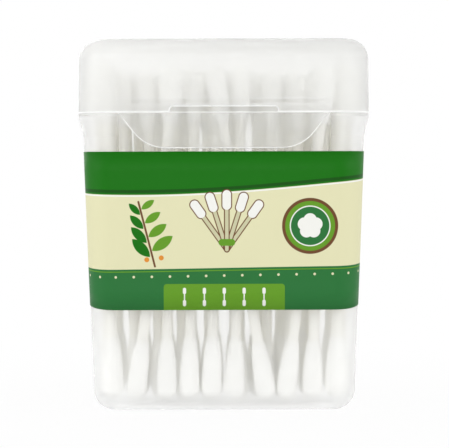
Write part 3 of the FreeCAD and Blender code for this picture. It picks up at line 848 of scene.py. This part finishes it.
def wrapped_label(look):
    """The label as one strip of paper, printed outside, with its end glued over its start at the back."""
    slope = math.tan(look.draft)
    low, high = LABEL_LOW.z, LABEL_HIGH.z
    rows = np.linspace(low, high, 9)

    def outline(height, inset):
        drawn_in = (high - height) * slope + inset
        return wrapped_outline(
            LABEL_HIGH.x - drawn_in, LABEL_HIGH.y - drawn_in,
            look.base_corner + height * slope - inset + look.thickness, look.overlap, look.thickness)

    outer = [outline(height, 0.0) for height in rows]
    inner = [outline(height, look.thickness) for height in rows]
    middle = outer[len(rows) // 2]
    steps = np.linalg.norm(np.diff(middle, axis=0), axis=1)
    travel = np.concatenate([[0.0], np.cumsum(steps)])
    columns = len(middle)
    round_length = travel[-1] - look.overlap
    from_front = np.clip((middle[:, 1] + LABEL_HIGH.y) / (look.base_corner * 1.4), 0.0, 1.0)
    lift = look.corner_rise * from_front * from_front * (3.0 - 2.0 * from_front)
    points = []
    for skin in (outer, inner):
        for height, row in zip(rows, skin):
            share = (high - height) / (high - low)
            points += [(x, y, height + share * share * up) for (x, y), up in zip(row, lift)]

    def at(skin, row, column):
        return skin * len(rows) * columns + row * columns + column

    faces, printed = [], []
    for row in range(len(rows) - 1):
        for column in range(columns - 1):
            corners = [(row, column), (row, column + 1), (row + 1, column + 1), (row + 1, column)]
            faces.append([at(0, *c) for c in corners])
            printed.append(corners)
            faces.append([at(1, *c) for c in reversed(corners)])
            printed.append(None)
    top, end = len(rows) - 1, columns - 1
    for here in range(end):
        there = here + 1
        faces.append([at(0, 0, there), at(0, 0, here), at(1, 0, here), at(1, 0, there)])
        faces.append([at(0, top, here), at(0, top, there), at(1, top, there), at(1, top, here)])
        printed += [None, None]
    for here in range(top):
        there = here + 1
        faces.append([at(0, here, 0), at(0, there, 0), at(1, there, 0), at(1, here, 0)])
        faces.append([at(0, there, end), at(0, here, end), at(1, here, end), at(1, there, end)])
        printed += [None, None]

    materials = [label_print(look, travel[-1], round_length, high - low), bare_paper(look)]
    piece = new_piece("printed_label", points, faces, materials)
    layer = piece.data.uv_layers.new(name="print")
    for polygon, corners in zip(piece.data.polygons, printed):
        polygon.material_index = 1 if corners is None else 0
        for loop, (row, column) in zip(polygon.loop_indices, corners or [(0, 0)] * 4):
            layer.data[loop].uv = (travel[column] / travel[-1], row / top)
    return piece


def bending_web(look, plastic):
    """Hinge strip with a shallow groove along its bending line."""
    rows = 14
    low, high = HINGE_LOW, HINGE_HIGH
    groove_reach = 0.55 * (high.z - low.z) / 2
    outline = []
    for i in range(rows + 1):
        height = low.z + (high.z - low.z) * i / rows
        dip = look.groove * max(0.0, 1 - ((height - HINGE_Z) / groove_reach) ** 2)
        outline.append((high.y - dip, height))
    outline += [(low.y, height) for _, height in reversed(outline)]
    stations = np.linspace(low.x, high.x, 9)
    count = len(outline)
    points = [(x, y, z) for x in stations for y, z in outline]
    faces = [list(range(count)), list(reversed(range(len(points) - count, len(points))))]
    for station in range(len(stations) - 1):
        for i in range(count):
            j = (i + 1) % count
            a, b = station * count, (station + 1) * count
            faces.append((a + i, b + i, b + j, a + j))
    return new_piece("bending_web", points, faces, [plastic], smooth=False)


class SWABBOX_OT_mould(bpy.types.Operator):
    """Give the box and the lid their moulded plastic, and make the hinge strip between them"""

    bl_idname = "swab_box.mould"
    bl_label = "Mould box, lid and hinge"

    def execute(self, context):
        look = context.scene.plastic_finish

        def body_haze(across, back, height):
            window = ((look.window_reach - abs(across)) / (2 * MM)).held()
            window = window * above(height, LABEL_HIGH.z) * (1.0 - above(back, 0.0))
            return look.body_haze + window * (look.window_haze - look.body_haze)

        def lid_haze(across, back, height):
            return look.tongue_haze + above(height, HINGE_Z) * (look.lid_haze - look.tongue_haze)

        body = moulded_plastic("clear_polypropylene", look, look.body_tint, body_haze)
        lid = moulded_plastic("frosted_polypropylene", look, look.lid_tint, lid_haze)
        for node, material in (("box", body), ("lid", lid)):
            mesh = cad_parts[node].data
            mesh.materials.clear()
            mesh.materials.append(material)
        # White beads along the sharp edges of box and lid paint their highlights
        for node, body_name, width in (("box", "case", look.body_highlight_bead), ("lid", "lid", look.lid_highlight_bead)):
            lines = painted_highlight_beads(f"{node}_edges", node, width)
            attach(lines, body_name)
        web = bending_web(look, body)
        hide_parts("hinge_web")
        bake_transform(web)
        return {"FINISHED"}


class SWABBOX_OT_fill(bpy.types.Operator):
    """Make the fifty swabs along the axes of their nodes"""

    bl_idname = "swab_box.fill"
    bl_label = "Fill with swabs"

    def execute(self, context):
        look = context.scene.swab_finish
        draw = random.Random(look.seed)
        materials = [wound_cotton(look), rolled_paper(look)]
        for node in SWAB_NODES:
            low, high = node_axis(node)
            axis = high - low
            piece = turned_swab(f"cotton_{node}", look, axis.length, draw, materials)
            spin = Matrix.Rotation(draw.uniform(0, 2 * math.pi), 4, "Z")
            lean = axis.to_track_quat("Z", "Y").to_matrix().to_4x4()
            piece.matrix_world = Matrix.Translation(low) @ lean @ spin
            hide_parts(node)
            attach(piece, "case")
        return {"FINISHED"}


class SWABBOX_OT_wrap(bpy.types.Operator):
    """Wrap the printed label round the box"""

    bl_idname = "swab_box.wrap"
    bl_label = "Wrap the label"

    def execute(self, context):
        label = wrapped_label(context.scene.label_finish)
        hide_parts("label")
        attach(label, "case")
        return {"FINISHED"}


def white_world(setup):
    """Even surround that shows white to the camera and through the plastic."""
    world = bpy.data.worlds.new("studio")
    bpy.context.scene.world = world
    world.use_nodes = True
    finish = Finish(world.node_tree)
    seen = rays_to_the_eye(finish)
    strength = setup.surround + seen * (1.0 - setup.surround)
    light = finish.node("ShaderNodeBackground", {}, {"Color": (1.0, 1.0, 1.0, 1.0), "Strength": strength})
    finish.end("ShaderNodeOutputWorld", light)


def rays_to_the_eye(finish):
    """1 for rays from the camera, and for those that gloss or clear plastic sends on."""
    camera = finish.node("ShaderNodeLightPath", output="Is Camera Ray")
    return camera.larger(camera.output("Is Glossy Ray")).larger(camera.output("Is Transmission Ray"))


def floor_finish(setup):
    """Pale floor that keeps a light shadow."""
    material, finish = new_finish("pale_floor")
    matt = finish.node("ShaderNodeBsdfDiffuse", {}, {"Color": linear((0.95, 0.95, 0.95)), "Roughness": 0.0})
    glow = finish.node("ShaderNodeEmission", {}, {"Color": (1.0, 1.0, 1.0, 1.0), "Strength": 1.0})
    across, along, _ = finish.parts(finish.place())
    away = ((across * across + along * along).root() / setup.shadow_reach).held()
    share = rays_to_the_eye(finish) * (setup.floor_white + away * (1.0 - setup.floor_white))
    surface = finish.node("ShaderNodeMixShader", {}, {0: share, 1: matt, 2: glow})
    finish.end("ShaderNodeOutputMaterial", surface)
    return material


def round_floor(setup):
    sides = 96
    turns = [2 * math.pi * side / sides for side in range(sides)]
    points = [(setup.floor_radius * math.cos(t), setup.floor_radius * math.sin(t), 0.0) for t in turns]
    floor = new_piece("floor", points, [list(range(sides))], [floor_finish(setup)], smooth=False)


def soft_lamp(name, place, power):
    """Wide round lamp that faces the box."""
    lamp = bpy.data.lights.new(name, "AREA")
    lamp.shape = "DISK"
    lamp.size = LAMP_WIDTH
    lamp.energy = power
    holder = bpy.data.objects.new(name, lamp)
    holder.location = place
    holder.rotation_euler = (Vector(LAMP_AIM) - Vector(place)).to_track_quat("-Z", "Y").to_euler()
    bpy.context.scene.collection.objects.link(holder)


def set_camera(setup):
    """Camera at the photograph's angle, with its focal length worked out for the picture's width."""
    cos_a, sin_a = math.cos(setup.azimuth), math.sin(setup.azimuth)
    cos_e, sin_e = math.cos(setup.elevation), math.sin(setup.elevation)
    forward = Vector((-sin_a * cos_e, cos_a * cos_e, -sin_e))
    right = Vector((cos_a, sin_a, 0.0))
    up = right.cross(forward)
    rolled_right = right * math.cos(setup.roll) + up * math.sin(setup.roll)
    rolled_up = up * math.cos(setup.roll) - right * math.sin(setup.roll)
    lens = bpy.data.cameras.new("camera")
    lens.sensor_fit = "HORIZONTAL"
    lens.sensor_width = SENSOR_WIDTH
    lens.lens = setup.focal_pixels / PICTURE_WIDTH * SENSOR_WIDTH
    lens.clip_start = 0.01
    lens.clip_end = 50.0
    camera = bpy.data.objects.new("camera", lens)
    turn = Matrix((rolled_right, rolled_up, -forward)).transposed().to_4x4()
    camera.matrix_world = Matrix.Translation(Vector(setup.target) - forward * setup.distance) @ turn
    bpy.context.scene.collection.objects.link(camera)
    bpy.context.scene.camera = camera


class SWABBOX_OT_stage(bpy.types.Operator):
    """Set the floor, the light and the camera"""

    bl_idname = "swab_box.stage"
    bl_label = "Set the stage"

    def execute(self, context):
        setup = context.scene.stage_setup
        context.scene.view_settings.view_transform = "Standard"
        context.scene.cycles.max_bounces = 32
        context.scene.cycles.diffuse_bounces = 16
        context.scene.cycles.transmission_bounces = 16
        context.scene.cycles.transparent_max_bounces = 24
        white_world(setup)
        round_floor(setup)
        soft_lamp("key", KEY_PLACE, setup.key_power)
        soft_lamp("right", RIGHT_PLACE, setup.side_power)
        soft_lamp("left", LEFT_PLACE, setup.side_power)
        soft_lamp("back", BACK_PLACE, setup.back_power)
        set_camera(setup)
        return {"FINISHED"}


class SWABBOX_PT_panel(bpy.types.Panel):
    """Lists the steps and their sizes and colours"""

    bl_idname = "SWABBOX_PT_panel"
    bl_label = "Cotton Swab Box"
    bl_space_type = "VIEW_3D"
    bl_region_type = "UI"
    bl_category = "Swab Box"

    def draw(self, context):
        for step, group in STEPS:
            column = self.layout.column()
            column.operator(step.bl_idname)
            settings = getattr(context.scene, group)
            for name in settings.__annotations__:
                column.prop(settings, name)


GROUPS = {
    "plastic_finish": PlasticFinish,
    "swab_finish": SwabFinish,
    "label_finish": LabelFinish,
    "stage_setup": StageSetup,
}
STEPS = [
    (SWABBOX_OT_stage, "stage_setup"),
    (SWABBOX_OT_mould, "plastic_finish"),
    (SWABBOX_OT_fill, "swab_finish"),
    (SWABBOX_OT_wrap, "label_finish"),
]
CLASSES = [*GROUPS.values(), *[step for step, _ in STEPS], SWABBOX_PT_panel]


def register():
    for each in CLASSES:
        bpy.utils.register_class(each)
    for name, group in GROUPS.items():
        setattr(bpy.types.Scene, name, bpy.props.PointerProperty(type=group))


def unregister():
    for name in GROUPS:
        delattr(bpy.types.Scene, name)
    for each in reversed(CLASSES):
        bpy.utils.unregister_class(each)


def main():
    register()
    bpy.ops.swab_box.stage()
    bpy.ops.swab_box.mould()
    bpy.ops.swab_box.fill()
    bpy.ops.swab_box.wrap()


if __name__ == "__main__":
    main()
